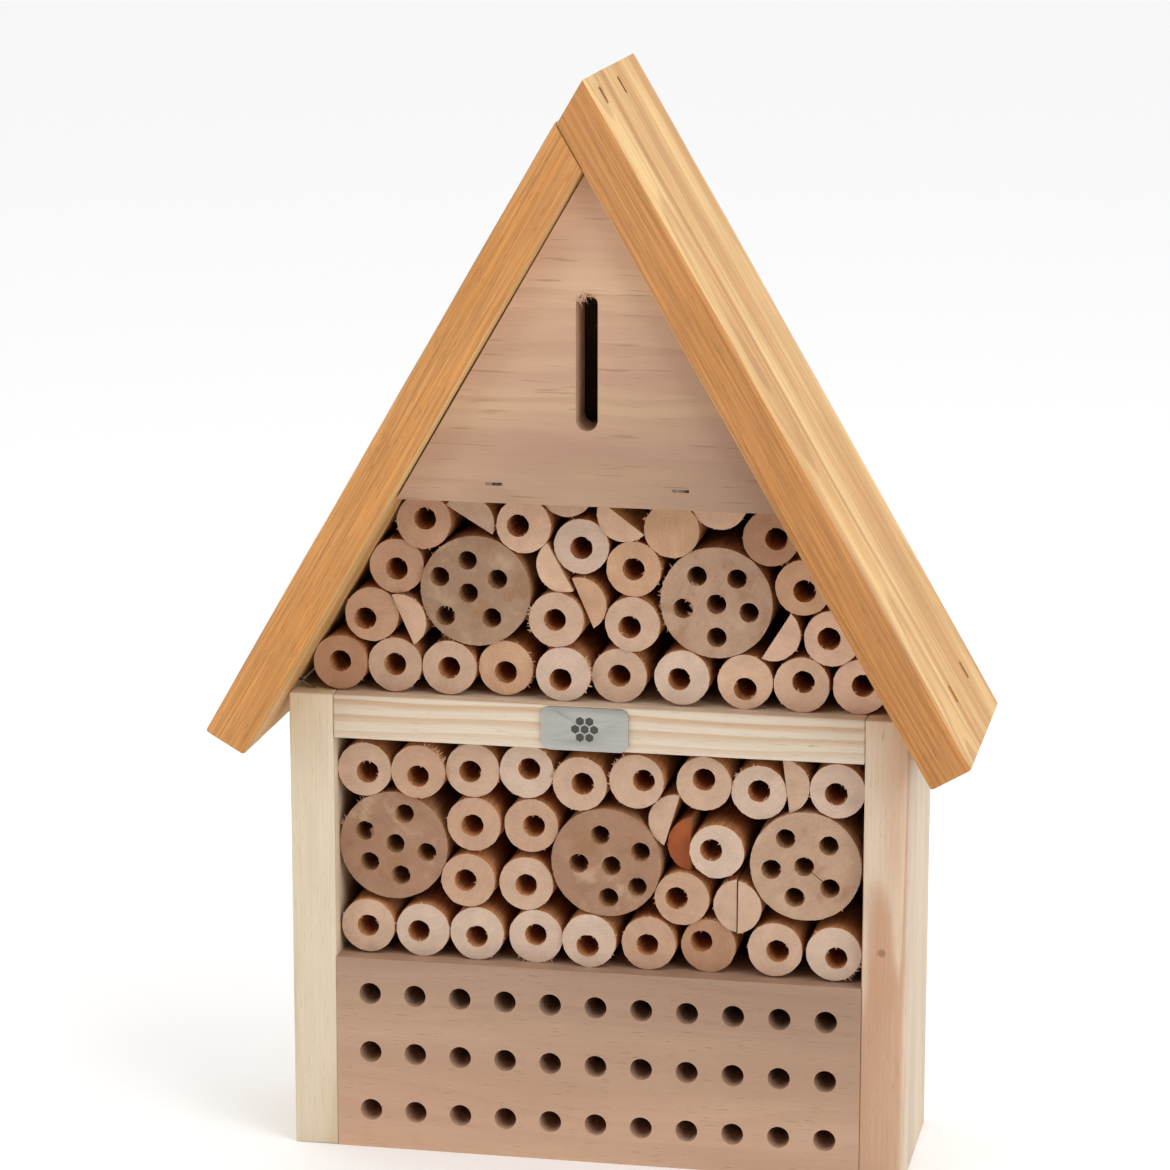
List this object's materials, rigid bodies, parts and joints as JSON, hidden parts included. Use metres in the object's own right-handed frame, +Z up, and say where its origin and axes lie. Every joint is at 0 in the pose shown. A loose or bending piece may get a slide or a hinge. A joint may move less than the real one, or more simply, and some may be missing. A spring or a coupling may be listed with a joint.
{
  "type": "insect hotel",
  "caption": "House-shaped wooden nesting box with a pitched roof, slotted gable, two bays packed with drilled and split rods and thick drilled rounds, and a drilled block below.",
  "frame": {"origin": "middle of the bounding box in plan, at the level the feet of the box stand on", "axes": "+Z up, the open front with the nest holes faces -Y, +X to the right as seen from the front"},
  "size_m": [0.2694, 0.0964, 0.3909],
  "materials": {
    "stained_larch": "stained and oiled softwood, strong grain",
    "planed_spruce": "planed bare spruce, fine straight grain",
    "alder_block": "planed bare alder, short fine grain",
    "gable_wood": "planed bare hardwood, fine grain",
    "attic_wood": "planed bare softwood",
    "back_plywood": "bare thin plywood",
    "brushed_plate": "brushed, engraved pictogram",
    "hanger_steel": "zinc plated",
    "screw_steel": "zinc plated",
    "staple_steel": "galvanised, slightly tarnished",
    "round_wood": "sawn end grain, greyish tan, bark off",
    "split_wood": "sawn end grain, split faces",
    "rod_wood": "sawn end grain, warm orange brown sides"
  },
  "bodies": {
    "root": {"attic_floor": "attic_wood", "back_panel": "back_plywood", "back_staples": "staple_steel", "blank_rod": "rod_wood", "drilled_block": "alder_block", "gable_panel": "gable_wood", "gable_staples": "staple_steel", "hanger_plate": "hanger_steel", "hanger_screws": "screw_steel", "left_eave_staples": "staple_steel", "left_roof_board": "stained_larch", "left_side_board": "planed_spruce", "lower_floor_rods": "rod_wood", "lower_half_rounds": "split_wood", "lower_left_round": "round_wood", "lower_middle_round": "round_wood", "lower_right_round": "round_wood", "lower_rod_1": "rod_wood", "lower_rod_10": "rod_wood", "lower_rod_11": "rod_wood", "lower_rod_12": "rod_wood", "lower_rod_13": "rod_wood", "lower_rod_14": "rod_wood", "lower_rod_15": "rod_wood", "lower_rod_2": "rod_wood", "lower_rod_3": "rod_wood", "lower_rod_4": "rod_wood", "lower_rod_5": "rod_wood", "lower_rod_6": "rod_wood", "lower_rod_7": "rod_wood", "lower_rod_8": "rod_wood", "lower_rod_9": "rod_wood", "nameplate": "brushed_plate", "ridge_staples": "staple_steel", "right_eave_staples": "staple_steel", "right_roof_board": "stained_larch", "right_side_board": "planed_spruce", "shelf": "planed_spruce", "upper_floor_rods": "rod_wood", "upper_half_rounds": "split_wood", "upper_left_round": "round_wood", "upper_right_round": "round_wood", "upper_rod_1": "rod_wood", "upper_rod_10": "rod_wood", "upper_rod_11": "rod_wood", "upper_rod_2": "rod_wood", "upper_rod_3": "rod_wood", "upper_rod_4": "rod_wood", "upper_rod_5": "rod_wood", "upper_rod_6": "rod_wood", "upper_rod_7": "rod_wood", "upper_rod_8": "rod_wood", "upper_rod_9": "rod_wood"}
  },
  "joints": []
}
